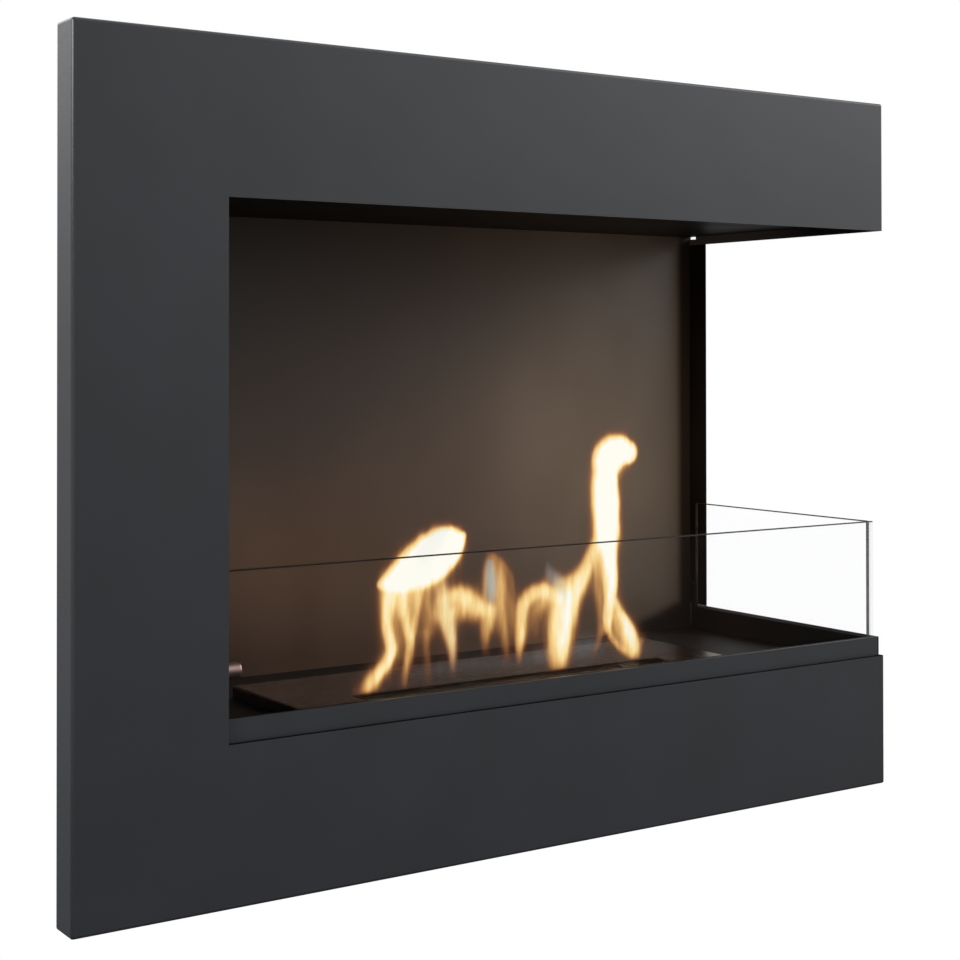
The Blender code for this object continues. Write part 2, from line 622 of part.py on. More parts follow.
def glass():
    """Front and side panes on their rubber strips, with the bars, seal and stop."""
    pane_left = CLAMP_START + CLAMP_ROOT + GLASS_CLEARANCE
    top = GLASS_BOTTOM + GLASS_HEIGHT
    inner = GLASS_X - GLASS
    edge = GLASS / 10
    front = block(
        "front_glass", (pane_left, GLASS_Y, GLASS_BOTTOM), (GLASS_X, GLASS_Y + GLASS, top),
        CLEAR_GLASS,
    )
    side = block(
        "side_glass", (inner, SIDE_GLASS_FRONT, GLASS_BOTTOM), (GLASS_X, SIDE_GLASS_BACK, top),
        CLEAR_GLASS,
    )
    bevel(front, edge, 1)
    bevel(side, edge, 1)
    block(
        "corner_seal", (inner, GLASS_Y + GLASS + GAP, LEDGE_TOP + GAP),
        (GLASS_X, SIDE_GLASS_FRONT - GAP, top), CLEAR_SEAL,
    )
    strip_low, strip_high = FLOOR_TOP + GAP, FLOOR_TOP + GAP + GASKET
    block(
        "front_gasket", (pane_left, GLASS_Y - 2 * GLASS_CLEARANCE, strip_low),
        (inner - 2 * GAP - GLASS_CLEARANCE, GLASS_Y + GLASS + 2 * GLASS_CLEARANCE, strip_high),
        RUBBER,
    )
    block(
        "side_gasket", (inner - GLASS_CLEARANCE, SIDE_GLASS_FRONT, strip_low),
        (CORE_RIGHT, SIDE_GLASS_BACK, strip_high), RUBBER,
    )
    bar_top = strip_low + BAR_HEIGHT
    bar_x = inner - 2 * GLASS_CLEARANCE
    block(
        "front_glass_bar", (SIDE_LINER + SHEET + GAP, BAR_BACK - BAR, strip_low),
        (bar_x - BAR - GAP, BAR_BACK, bar_top), LINING,
    )
    block(
        "side_glass_bar", (bar_x - BAR, BAR_BACK + GAP, strip_low),
        (bar_x, SIDE_GLASS_BACK, bar_top), LINING,
    )
    stop = SIDE_GLASS_BACK + GLASS_CLEARANCE
    block(
        "side_glass_stop", (bar_x - BAR, stop, strip_low),
        (CORE_RIGHT, stop + STOP_THICKNESS, strip_low + STOP_HEIGHT), LINING,
    )


def glass_clamp():
    """Slit round clamp that grips the front pane's left end, with its two screws."""
    start = (CLAMP_START, CLAMP_Y, CLAMP_Z)
    clamp = rod("glass_clamp", start, "X", CLAMP_LENGTH, CLAMP_RADIUS, STAINLESS, 32)
    bevel(clamp, CLAMP_RADIUS / 4, 3)
    reach = GLASS / 2 + GLASS_CLEARANCE
    slit = block(
        "clamp_slit",
        (CLAMP_START + CLAMP_ROOT, CLAMP_Y - reach, CLAMP_Z - 2 * CLAMP_RADIUS),
        (CLAMP_START + 2 * CLAMP_LENGTH, CLAMP_Y + reach, CLAMP_Z + 2 * CLAMP_RADIUS),
        None, cutters,
    )
    cut(clamp, slit)
    grub_x = CLAMP_START + (CLAMP_ROOT + CLAMP_LENGTH) / 2
    bore = rod(
        "grub_bore", (grub_x, CLAMP_Y + reach / 2, CLAMP_Z), "Y", 2 * CLAMP_RADIUS,
        GRUB_RADIUS + GAP, None, 16, cutters,
    )
    cut(clamp, bore)
    grub_y = CLAMP_Y + reach + GAP
    rod("clamp_grub_screw", (grub_x, grub_y, CLAMP_Z), "Y", GRUB_LENGTH, GRUB_RADIUS, ZINC, 12)
    face = SIDE_LINER - GAP
    length = CLAMP_START - GAP - face
    profile = [
        (0, length), (FIXING_SHANK_RADIUS, length), (FIXING_SHANK_RADIUS, 0),
        (FIXING_HEAD_RADIUS, 0), (FIXING_HEAD_RADIUS * 0.85, -FIXING_HEAD * 0.8),
        (0, -FIXING_HEAD),
    ]
    turned("clamp_fixing_screw", (face, CLAMP_Y, CLAMP_Z), "X", profile, ZINC, 16)


fascia()
fascia_fixings()
casing()
header()
base()
linings()
supports()
post()
cover_plate()
slot_trim()
shutter()
shutter_guides()
tank()
glass()
glass_clamp()
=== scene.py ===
import json
import math

import bmesh
import bpy
import numpy as np
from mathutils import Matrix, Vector, noise


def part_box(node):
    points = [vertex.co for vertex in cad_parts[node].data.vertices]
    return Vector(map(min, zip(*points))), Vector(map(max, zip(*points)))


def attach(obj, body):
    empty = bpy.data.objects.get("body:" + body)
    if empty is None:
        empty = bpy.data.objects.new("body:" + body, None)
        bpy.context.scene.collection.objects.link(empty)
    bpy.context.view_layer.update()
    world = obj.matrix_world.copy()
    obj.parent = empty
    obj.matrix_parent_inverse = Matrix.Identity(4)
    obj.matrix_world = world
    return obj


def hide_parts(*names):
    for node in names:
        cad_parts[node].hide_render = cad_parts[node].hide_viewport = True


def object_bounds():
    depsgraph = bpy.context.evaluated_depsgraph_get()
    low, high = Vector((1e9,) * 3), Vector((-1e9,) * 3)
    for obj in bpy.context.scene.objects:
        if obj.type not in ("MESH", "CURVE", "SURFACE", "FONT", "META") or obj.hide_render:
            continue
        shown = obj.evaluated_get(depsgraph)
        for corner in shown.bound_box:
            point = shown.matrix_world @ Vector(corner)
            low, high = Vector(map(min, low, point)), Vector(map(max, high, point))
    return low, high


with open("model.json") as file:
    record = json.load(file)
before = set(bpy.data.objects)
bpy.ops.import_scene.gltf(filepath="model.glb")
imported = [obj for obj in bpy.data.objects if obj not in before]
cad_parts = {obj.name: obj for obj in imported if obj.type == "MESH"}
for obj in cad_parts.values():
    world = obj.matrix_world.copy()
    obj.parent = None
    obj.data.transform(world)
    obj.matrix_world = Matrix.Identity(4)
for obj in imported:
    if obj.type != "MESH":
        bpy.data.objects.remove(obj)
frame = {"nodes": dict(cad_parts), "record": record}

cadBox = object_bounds()
scene = bpy.context.scene
mm = 0.001

fasciaLow = Vector(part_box("fascia_panel")[0])
frontY = fasciaLow.y  # front of the fascia
originX, originZ = fasciaLow.x, fasciaLow.z  # its lower left corner


def place(x, y, z):
    # millimetres from the fascia's lower left front corner
    return Vector((originX + x * mm, frontY + y * mm, originZ + z * mm))


def selectOnly(obj):
    for other in bpy.context.selected_objects:
        other.select_set(False)
    obj.select_set(True)
    bpy.context.view_layer.objects.active = obj


for shown in bpy.context.selected_objects:
    shown.select_set(False)

# ---- camera, light and floor

viewing = {
    "station": (-569.3, -1476.1, 508.7),  # mm from the fascia's lower left front corner
    "yaw": 34.0,  # degrees to the right of straight in
    "tilt": 0.57,  # up
    "roll": 0.066,
    "lens": 66.8,
    "sensor": 36.0,
    "shiftDown": 0.1527,
}
cameraData = bpy.data.cameras.new("viewCamera")
camera = bpy.data.objects.new("viewCamera", cameraData)
scene.collection.objects.link(camera)
camera.location = place(*viewing["station"])
camera.rotation_euler = (
    math.radians(90 + viewing["tilt"]), math.radians(viewing["roll"]), math.radians(-viewing["yaw"]),
)
cameraData.lens = viewing["lens"]
cameraData.sensor_width = viewing["sensor"]
cameraData.shift_y = -viewing["shiftDown"]
cameraData.clip_start = 0.05
scene.camera = camera
scene.view_settings.view_transform = "Standard"
scene.cycles.transparent_max_bounces = 24  # panes and flames are seen through one another


def linear(hexColour):
    # an sRGB hex colour as the linear values that shaders want
    values = [int(hexColour[i:i + 2], 16) / 255 for i in (1, 3, 5)]
    return tuple(v / 12.92 if v <= 0.04045 else ((v + 0.055) / 1.055) ** 2.4 for v in values)


def colour(hexColour):
    return (*linear(hexColour), 1.0)


def addNode(tree, kind, settings=None, links=None):
    # settings are properties or input values, links are input name -> output socket
    node = tree.nodes.new(kind)
    for key, value in (settings or {}).items():
        if isinstance(key, int) or key in node.inputs:
            node.inputs[key].default_value = value
        else:
            setattr(node, key, value)
    for key, source in (links or {}).items():
        tree.links.new(source, node.inputs[key])
    return node


def smoothRange(tree, source, span, result=(0.0, 1.0)):
    # maps span onto result with soft ends
    settings = {"interpolation_type": "SMOOTHSTEP", 1: span[0], 2: span[1], 3: result[0], 4: result[1]}
    return addNode(tree, "ShaderNodeMapRange", settings, {0: source}).outputs[0]


studio = {
    "ambient": 0.44,
    "overhead": 0.45,  # share of the ambient light that comes from straight above
    "softboxes": [  # azimuth from straight ahead of the fascia, elevation, inner and outer angle, strength
        (64, 22, 12, 34, 4.7),
        (205, 50, 22, 56, 3.5),
        (302, 12, 7, 15, 10.0),
    ],
    "overheadFrom": (0.45, 0.85),  # upward part of the direction where it starts and ends to dim
    "softboxFrom": (0.03, 0.3),  # the softboxes fade in above this
    "floorFrom": (-0.42, -0.04),
    "floorShade": 0.12,  # strength of the light from below
    "floorDrop": 0.42,
}


def buildWorld():
    world = bpy.data.worlds.new("studioLight")
    scene.world = world
    world.use_nodes = True
    tree = world.node_tree
    tree.nodes.clear()
    coord = addNode(tree, "ShaderNodeTexCoord")
    direction = coord.outputs["Generated"]
    height = addNode(tree, "ShaderNodeSeparateXYZ", links={0: direction}).outputs["Z"]
    total = smoothRange(
        tree, height, studio["floorFrom"], (studio["ambient"] * studio["floorShade"], studio["ambient"]),
    )
    dimmed = smoothRange(tree, height, studio["overheadFrom"], (1.0, studio["overhead"]))
    total = addNode(tree, "ShaderNodeMath", {"operation": "MULTIPLY"}, {0: total, 1: dimmed}).outputs[0]
    above = smoothRange(tree, height, studio["softboxFrom"])
    for azimuth, elevation, inner, outer, strength in studio["softboxes"]:
        a, e = math.radians(azimuth), math.radians(elevation)
        centre = (math.sin(a) * math.cos(e), -math.cos(a) * math.cos(e), math.sin(e))
        dot = addNode(tree, "ShaderNodeVectorMath", {"operation": "DOT_PRODUCT", 1: centre}, {0: direction})
        edge = (math.cos(math.radians(outer)), math.cos(math.radians(inner)))
        glow = smoothRange(tree, dot.outputs["Value"], edge, (0.0, strength))
        cut = addNode(tree, "ShaderNodeMath", {"operation": "MULTIPLY"}, {0: glow, 1: above}).outputs[0]
        total = addNode(tree, "ShaderNodeMath", {"operation": "ADD"}, {0: total, 1: cut}).outputs[0]
    lit = addNode(tree, "ShaderNodeBackground", {"Color": (1, 1, 1, 1)}, {"Strength": total})
    plain = addNode(tree, "ShaderNodeBackground", {"Color": (1, 1, 1, 1), "Strength": 1.0})
    path = addNode(tree, "ShaderNodeLightPath")
    mix = addNode(
        tree, "ShaderNodeMixShader",
        links={0: path.outputs["Is Camera Ray"], 1: lit.outputs[0], 2: plain.outputs[0]},
    )
    addNode(tree, "ShaderNodeOutputWorld", links={"Surface": mix.outputs[0]})


def buildFloor():
    bpy.ops.mesh.primitive_plane_add(size=30, location=(0, 0, cadBox[0][2] - studio["floorDrop"]))
    floor = bpy.context.object
    floor.name = "paleFloor"
    material = bpy.data.materials.new("paleStudioFloor")
    material.use_nodes = True
    tree = material.node_tree
    tree.nodes.clear()
    glow = addNode(tree, "ShaderNodeEmission", {"Color": (1, 1, 1, 1), "Strength": 1.0})
    addNode(tree, "ShaderNodeOutputMaterial", links={"Surface": glow.outputs[0]})
    floor.data.materials.append(material)
    floor.visible_diffuse = False
    floor.visible_glossy = False
    floor.visible_transmission = False


buildWorld()
buildFloor()
print("camera, light and floor are set")

# ---- materials


def startMaterial(name):
    material = bpy.data.materials.new(name)
    material.use_nodes = True
    tree = material.node_tree
    tree.nodes.clear()
    shader = addNode(tree, "ShaderNodeBsdfPrincipled")
    addNode(tree, "ShaderNodeOutputMaterial", links={"Surface": shader.outputs[0]})
    coord = addNode(tree, "ShaderNodeTexCoord").outputs["Object"]
    return material, tree, shader, coord


def grain(tree, coord, sizeMm, detail=3.0, stretch=None):
    # noise whose blobs are about sizeMm across
    source = coord
    if stretch:
        source = addNode(tree, "ShaderNodeMapping", {"Scale": stretch}, {"Vector": coord}).outputs[0]
    return addNode(
        tree, "ShaderNodeTexNoise", {"Scale": 1 / (sizeMm * mm), "Detail": detail}, {"Vector": source},
    ).outputs["Fac"]


def between(tree, factor, low, high, start=0.3, end=0.7):
    # spreads a pattern between two numbers
    return addNode(
        tree, "ShaderNodeMapRange", {1: start, 2: end, 3: low, 4: high}, {0: factor},
    ).outputs[0]


def twoTone(tree, factor, first, second, start=0.35, end=0.65):
    ramp = addNode(tree, "ShaderNodeValToRGB", links={0: factor})
    ramp.color_ramp.elements[0].position = start
    ramp.color_ramp.elements[0].color = colour(first)
    ramp.color_ramp.elements[1].position = end
    ramp.color_ramp.elements[1].color = colour(second)
    return ramp.outputs["Color"]


def roughen(tree, shader, factor, depthMm, strength=1.0):
    bump = addNode(
        tree, "ShaderNodeBump", {"Strength": strength, "Distance": depthMm * mm}, {"Height": factor},
    )
    tree.links.new(bump.outputs[0], shader.inputs["Normal"])


def powderCoat(name, dark, light, rough, shine=0.5):
    # polyester powder coat, baked on: an even matt colour with a fine leathery texture
    material, tree, shader, coord = startMaterial(name)
    cloud = grain(tree, coord, 90, 2.0)
    speck = grain(tree, coord, 1.6, 2.0)  # real texture is about 0.4 mm, drawn coarser so that it shows
    tree.links.new(twoTone(tree, cloud, dark, light), shader.inputs["Base Color"])
    tree.links.new(between(tree, speck, rough - 0.05, rough + 0.06), shader.inputs["Roughness"])
    shader.inputs["Specular IOR Level"].default_value = shine
    roughen(tree, shader, speck, 0.05, 0.35)
    return material


def stoveEnamel(name, dark, light, rough, shine=0.5):
    # heat-proof black paint, sprayed: satin, slightly clouded where heat and fumes have been
    material, tree, shader, coord = startMaterial(name)
    shader.inputs["Specular IOR Level"].default_value = shine
    cloud = grain(tree, coord, 70, 3.0, (1, 1, 0.6))
    speck = grain(tree, coord, 2.5, 2.0)
    tree.links.new(twoTone(tree, cloud, dark, light), shader.inputs["Base Color"])
    tree.links.new(between(tree, cloud, rough - 0.03, rough + 0.04), shader.inputs["Roughness"])
    roughen(tree, shader, speck, 0.03, 0.25)
    return material


def galvanisedSheet():
    # zinc-coated steel sheet: grey metal with large pale crystals
    material, tree, shader, coord = startMaterial("galvanisedSheet")
    crystals = addNode(
        tree, "ShaderNodeTexVoronoi", {"Scale": 1 / (11 * mm)}, {"Vector": coord},
    )
    tone = addNode(tree, "ShaderNodeSeparateColor", links={0: crystals.outputs["Color"]}).outputs[0]
    tree.links.new(twoTone(tree, tone, "#989da0", "#aaafb1", 0.1, 0.9), shader.inputs["Base Color"])
    tree.links.new(between(tree, tone, 0.34, 0.52, 0.0, 1.0), shader.inputs["Roughness"])
    shader.inputs["Metallic"].default_value = 1.0
    roughen(tree, shader, grain(tree, coord, 6, 2.0), 0.03, 0.2)
    return material


def brushedStainless(name, dark, light, rough, along=(0.03, 1, 1)):
    # stainless steel with a brushed finish: fine lines along the piece, in the tone it is given
    material, tree, shader, coord = startMaterial(name)
    lines = grain(tree, coord, 0.8, 2.0, along)  # real scratches are 0.1 mm, drawn coarser to show
    cloud = grain(tree, coord, 60, 2.0)
    blend = addNode(tree, "ShaderNodeMath", {"operation": "MULTIPLY_ADD", 1: 0.2}, {0: lines, 2: cloud})
    tree.links.new(twoTone(tree, blend.outputs[0], dark, light, 0.4, 0.8), shader.inputs["Base Color"])
    tree.links.new(between(tree, lines, rough - 0.03, rough + 0.04), shader.inputs["Roughness"])
    shader.inputs["Metallic"].default_value = 1.0
    roughen(tree, shader, lines, 0.005, 0.15)
    return material


def zincPlate():
    # bright zinc-plated fasteners: pale metal with a slight yellow passivation
    material, tree, shader, coord = startMaterial("zincPlate")
    cloud = grain(tree, coord, 4, 2.0)
    tree.links.new(twoTone(tree, cloud, "#a9a79b", "#c9c8c0"), shader.inputs["Base Color"])
    tree.links.new(between(tree, cloud, 0.28, 0.42), shader.inputs["Roughness"])
    shader.inputs["Metallic"].default_value = 1.0
    return material


def rubberStrip(name, dark, light):
    # EPDM rubber or foam: dull black with a faint bloom
    material, tree, shader, coord = startMaterial(name)
    bloom = grain(tree, coord, 12, 3.0)
    tree.links.new(twoTone(tree, bloom, dark, light), shader.inputs["Base Color"])
    tree.links.new(between(tree, bloom, 0.7, 0.85), shader.inputs["Roughness"])
    shader.inputs["Specular IOR Level"].default_value = 0.1
    roughen(tree, shader, grain(tree, coord, 1.5, 2.0), 0.04, 0.3)
    return material


def ceramicFibre():
    # needled alumina-silica wool: off-white fibres, scorched here and there
    material, tree, shader, coord = startMaterial("ceramicFibre")
    scorch = grain(tree, coord, 25, 4.0)
    strands = grain(tree, coord, 1.5, 4.0, (0.3, 1, 1))
    tree.links.new(twoTone(tree, scorch, "#7d6a58", "#d5cfc2", 0.3, 0.55), shader.inputs["Base Color"])
    shader.inputs["Roughness"].default_value = 0.95
    shader.inputs["Sheen Weight"].default_value = 0.3
    roughen(tree, shader, strands, 0.6, 0.7)
    return material


def siliconeBead():
    # clear silicone, wiped smooth: mostly see-through, with a soft shine
    material, tree, shader, coord = startMaterial("clearSilicone")
    cloud = grain(tree, coord, 8, 2.0)
    tree.links.new(twoTone(tree, cloud, "#9aa19f", "#b9bebc"), shader.inputs["Base Color"])
    tree.links.new(between(tree, cloud, 0.18, 0.3), shader.inputs["Roughness"])
    shader.inputs["Alpha"].default_value = 0.10
    return material


def floatGlass():
    # toughened float glass seen through its faces: clear, with a faint mirror of the room
    material = bpy.data.materials.new("toughenedFloatGlass")
    material.use_nodes = True
    tree = material.node_tree
    tree.nodes.clear()
    coord = addNode(tree, "ShaderNodeTexCoord").outputs["Object"]
    clear = addNode(tree, "ShaderNodeBsdfTransparent", {"Color": (0.996, 0.998, 0.997, 1)})
    smear = between(tree, grain(tree, coord, 40, 3.0), 0.0, 0.03)
    shine = addNode(tree, "ShaderNodeBsdfGlossy", {"Color": (1, 1, 1, 1)}, {"Roughness": smear})
    facing = addNode(tree, "ShaderNodeFresnel", {"IOR": 1.09})
    mix = addNode(
        tree, "ShaderNodeMixShader", links={0: facing.outputs[0], 1: clear.outputs[0], 2: shine.outputs[0]},
    )
    addNode(tree, "ShaderNodeOutputMaterial", links={"Surface": mix.outputs[0]})
    return material


def glassEdge(name, dark, light, solidity):
    # edge of the same glass: light is trapped inside, so most edges look dark
    material, tree, shader, coord = startMaterial(name)
    streak = grain(tree, coord, 14, 3.0)
    tree.links.new(twoTone(tree, streak, dark, light), shader.inputs["Base Color"])
    tree.links.new(between(tree, streak, 0.3, 0.4), shader.inputs["Roughness"])
    shader.inputs["Specular IOR Level"].default_value = 0.2
    shader.inputs["Alpha"].default_value = solidity
    return material


graphite = powderCoat("graphitePowderCoat", "#292b2f", "#2c2e33", 0.42)
# a smoother, glossier copy of the coat for the left fold, so that it catches the softbox; its slightly
# lighter colour is painted highlight
foldHighlightCoat = powderCoat("graphiteFoldPaintedHighlight", "#2b2d31", "#2e3035", 0.12, 1.0)
# painted shade: near-black for the opening's lower cut edge, which lies in the ledge's shadow
edgeShade = stoveEnamel("cutEdgePaintedShade", "#030303", "#060606", 0.9, 0.0)
hearthBlack = stoveEnamel("hearthStoveEnamel", "#080604", "#0e0a07", 0.5, 0.18)
ceilingBlack = stoveEnamel("ceilingStoveEnamel", "#060606", "#0a0a09", 0.5, 0.3)
backBrown = stoveEnamel("backWallStoveEnamel", "#292621", "#2c2924", 0.36)

# painted shade on the back wall, darkening it by the post and in the lower corner
cornerShadeMarks = {  # mm from the fascia's lower left corner
    "band": (972, 986),  # from where to where across it darkens into painted shade
    "patchCorner": (890, 143),  # a point across and up on the patch's upper edge
    "patchRise": 0.32,  # its slope
    "patchFade": (14, -4),  # mm above the edge where the painted shade begins and where it is full
    "tone": "#0f0d0b",
    "shine": (0.5, 0.15),  # of the plain paint and of the painted shade
}


def paintCornerShade(material):
    # painted shade on the back wall: an upright band at its right end and a slanting patch in the lower
    # corner
    tree = material.node_tree
    shader = next(node for node in tree.nodes if node.type == "BSDF_PRINCIPLED")
    coord = addNode(tree, "ShaderNodeTexCoord").outputs["Object"]
    axes = addNode(tree, "ShaderNodeSeparateXYZ", links={0: coord})
    band = smoothRange(tree, axes.outputs["X"], [place(x, 0, 0).x for x in cornerShadeMarks["band"]])
    rise = cornerShadeMarks["patchRise"]
    slope = addNode(
        tree, "ShaderNodeMath", {"operation": "MULTIPLY_ADD", 1: -rise},
        {0: axes.outputs["X"], 2: axes.outputs["Z"]},
    )
    corner = place(cornerShadeMarks["patchCorner"][0], 0, cornerShadeMarks["patchCorner"][1])
    edge = corner.z - rise * corner.x
    patch = smoothRange(tree, slope.outputs[0], [edge + fade * mm for fade in cornerShadeMarks["patchFade"]])
    cornerShade = addNode(tree, "ShaderNodeMath", {"operation": "MAXIMUM"}, {0: band, 1: patch}).outputs[0]
    paint = shader.inputs["Base Color"].links[0].from_socket
    shadedPaint = addNode(
        tree, "ShaderNodeMix", {"data_type": "RGBA", 7: colour(cornerShadeMarks["tone"])}, {0: cornerShade, 6: paint},
    )
    tree.links.new(shadedPaint.outputs[2], shader.inputs["Base Color"])
    plainShine, shadedShine = cornerShadeMarks["shine"]
    gloss = addNode(tree, "ShaderNodeMapRange", {3: plainShine, 4: shadedShine}, {0: cornerShade}).outputs[0]
    tree.links.new(gloss, shader.inputs["Specular IOR Level"])


# the back wall gets its painted shade
paintCornerShade(backBrown)
postBlack = stoveEnamel("postStoveEnamel", "#050404", "#080706", 0.45, 0.2)
# the burner plate's warm brown tone is painted reflection of the brown back wall and the flames
burnerSteelPaintedReflection = brushedStainless("burnerStainlessPaintedReflection", "#7b6858", "#8d7968", 0.24)
tankSteel = brushedStainless("tankStainless", "#57504a", "#7b736c", 0.36)
# the clamp's pinkish tone is painted reflection of the flames' warm light
clampSteelPaintedReflection = brushedStainless("clampStainlessPaintedReflection", "#7d6862", "#8b756f", 0.38, (1, 0.05, 0.05))
galvanised = galvanisedSheet()
zinc = zincPlate()
rubber = rubberStrip("extrudedRubber", "#121212", "#1d1d1c")
foam = rubberStrip("blackFoamStrip", "#030303", "#070707")
fibre = ceramicFibre()
bead = siliconeBead()
paneGlass = floatGlass()
paneEdge = glassEdge("polishedGlassEdge", "#0e0b09", "#1a1613", 0.93)
paneEnd = glassEdge("groundGlassEnd", "#4c4e4e", "#5c5e5e", 0.96)
paneTip = glassEdge("clearGlassEnd", "#d8dcda", "#e6e8e7", 0.12)

finishes = {
    "fascia_panel": graphite, "header_side_panel": graphite, "base_front_panel": graphite,
    "base_side_panel": graphite, "rear_right_post": postBlack, "ceiling_panel": ceilingBlack,
    "hearth_floor": hearthBlack, "back_liner": backBrown, "left_liner": hearthBlack,
    "front_glass_bar": hearthBlack, "side_glass_bar": hearthBlack, "side_glass_stop": hearthBlack,
    "burner_cover_plate": burnerSteelPaintedReflection, "slot_trim": burnerSteelPaintedReflection, "burner_shutter": tankSteel,
    "shutter_guide_left": tankSteel, "shutter_guide_right": tankSteel, "burner_tank": tankSteel,
    "ceramic_wool": fibre, "glass_clamp": clampSteelPaintedReflection, "corner_seal": bead,
    "front_gasket": rubber, "side_gasket": rubber, "joint_strip": foam, "front_glass": paneGlass,
    "side_glass": paneGlass,
}
fastenerNames = ("fascia_stud", "fascia_nut", "post_rivet", "clamp_")
for name, node in frame["nodes"].items():
    finish = finishes.get(name)
    if finish is None:
        finish = zinc if name.startswith(fastenerNames) else galvanised
    node.data.materials.clear()
    node.data.materials.append(finish)
fasciaMesh = frame["nodes"]["fascia_panel"].data
fasciaMesh.materials.append(edgeShade)
fasciaMesh.materials.append(foldHighlightCoat)
for face in fasciaMesh.polygons:
    if face.normal.z > 0.9 and face.center.z < place(0, 0, 400).z:
        face.material_index = 1  # painted shade: the opening's lower edge lies in the ledge's shadow, so it is painted near-black
    if face.normal.x < -0.2 and face.normal.y < -0.2 and abs(face.normal.z) < 0.1:
        face.material_index = 2  # the left fold, in the coat with the painted highlight
print("materials are on the CAD nodes")


def bodyOf(node):
    for body, names in frame["record"]["behaviour"]["bodies"].items():
        if node in names:
            return body
    return None


def finishPiece(obj, name, node, materials, replacesNode=True):
    # the object's place goes into its mesh, and it rides where its CAD node does
    selectOnly(obj)
    bpy.ops.object.transform_apply(location=True, rotation=True, scale=True)
    obj.name = name
    obj.data.name = name
    obj.data.materials.clear()
    for material in materials:
        obj.data.materials.append(material)
    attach(obj, bodyOf(node))
    if replacesNode:
        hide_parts(node)
    return obj


# ---- glass panes

paneShape = {"arris": 1.2, "arrisSteps": 1}


def buildPane(node, thinAxis, meetingEnd, endLook):
    # a sawn pane with its sharp edges ground off and polished
    low, high = (Vector(corner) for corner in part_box(node))
    bpy.ops.mesh.primitive_cube_add(size=1, location=(low + high) / 2)
    pane = bpy.context.object
    pane.scale = high - low
    selectOnly(pane)
    bpy.ops.object.transform_apply(location=True, rotation=True, scale=True)
    bpy.ops.object.mode_set(mode="EDIT")
    bpy.ops.mesh.select_all(action="SELECT")
    bpy.ops.mesh.bevel(offset=paneShape["arris"] * mm, segments=paneShape["arrisSteps"])
    bpy.ops.object.mode_set(mode="OBJECT")
    looks = [paneGlass, paneEdge, endLook]
    pane = finishPiece(pane, node.replace("_glass", "Pane"), node, looks)
    for face in pane.data.polygons:
        if abs(face.normal[thinAxis]) > 0.9:
            face.material_index = 0
        else:
            face.material_index = 2 if face.normal.dot(meetingEnd) > 0.6 else 1
    return pane


buildPane("front_glass", 1, Vector((1, 0, 0)), paneTip)
buildPane("side_glass", 0, Vector((0, -1, 0)), paneEnd)
print("glass panes are made")

# ---- rear post

postShape = {"sheet": 1.5, "edge": 0.4, "steps": 2}


def buildPost():
    # a strip folded once into an angle, standing tight under the header
    low, high = (Vector(corner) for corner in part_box("rear_right_post"))
    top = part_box("header_side_panel")[0][2] - 0.02 * mm
    bpy.ops.mesh.primitive_plane_add(
        size=1, location=(high.x, (low.y + high.y) / 2, (low.z + top) / 2),
        rotation=(0, math.radians(90), 0),
    )
    post = bpy.context.object
    post.scale = (top - low.z, high.y - low.y, 1)
    selectOnly(post)
    bpy.ops.object.transform_apply(location=True, rotation=True, scale=True)
    bpy.ops.object.mode_set(mode="EDIT")
    bpy.ops.mesh.select_all(action="DESELECT")
    shape = bmesh.from_edit_mesh(post.data)
    for edge in shape.edges:
        edge.select = all(v.co.y > high.y - 1e-5 for v in edge.verts)
    bmesh.update_edit_mesh(post.data)
    bpy.ops.mesh.extrude_region_move(TRANSFORM_OT_translate={"value": (low.x - high.x, 0, 0)})
    bpy.ops.mesh.select_all(action="SELECT")
    bpy.ops.mesh.normals_make_consistent(inside=False)
    bpy.ops.object.mode_set(mode="OBJECT")
    sheet = post.modifiers.new("sheet", "SOLIDIFY")
    sheet.thickness = postShape["sheet"] * mm
    sheet.use_even_offset = True
    side = max(post.data.polygons, key=lambda face: abs(face.normal.x))
    sheet.offset = -1 if side.normal.x > 0 else 1
    edges = post.modifiers.new("edges", "BEVEL")
    edges.width = postShape["edge"] * mm
    edges.segments = postShape["steps"]
    edges.limit_method = "ANGLE"
    for modifier in ("sheet", "edges"):
        bpy.ops.object.modifier_apply(modifier=modifier)
    return finishPiece(post, "rearPost", "rear_right_post", [postBlack])


buildPost()
print("rear post is made")

# ---- fibre block

fibreShape = {"cuts": 39, "lift": 2.2, "blob": 14}


def buildFibre():
    # the block's top is uneven where the wool has been pressed in by hand
    low, high = (Vector(corner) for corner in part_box("ceramic_wool"))
    bpy.ops.mesh.primitive_cube_add(size=1, location=(low + high) / 2)
    block = bpy.context.object
    block.scale = (high - low) * 0.995
    selectOnly(block)
    bpy.ops.object.transform_apply(location=True, rotation=True, scale=True)
    bpy.ops.object.mode_set(mode="EDIT")
    bpy.ops.mesh.select_all(action="SELECT")
    bpy.ops.mesh.subdivide(number_cuts=fibreShape["cuts"])
    bpy.ops.object.mode_set(mode="OBJECT")
    top = max(v.co.z for v in block.data.vertices)
    for vertex in block.data.vertices:
        if vertex.co.z > top - 1e-5:
            bump = noise.noise(vertex.co / (fibreShape["blob"] * mm)) - 1.0
            vertex.co.z += bump * fibreShape["lift"] * mm
    block = finishPiece(block, "fibreBlock", "ceramic_wool", [fibre])
    selectOnly(block)
    bpy.ops.object.shade_smooth_by_angle(angle=math.radians(50))
    return block


buildFibre()
print("fibre block is made")

# ---- flames

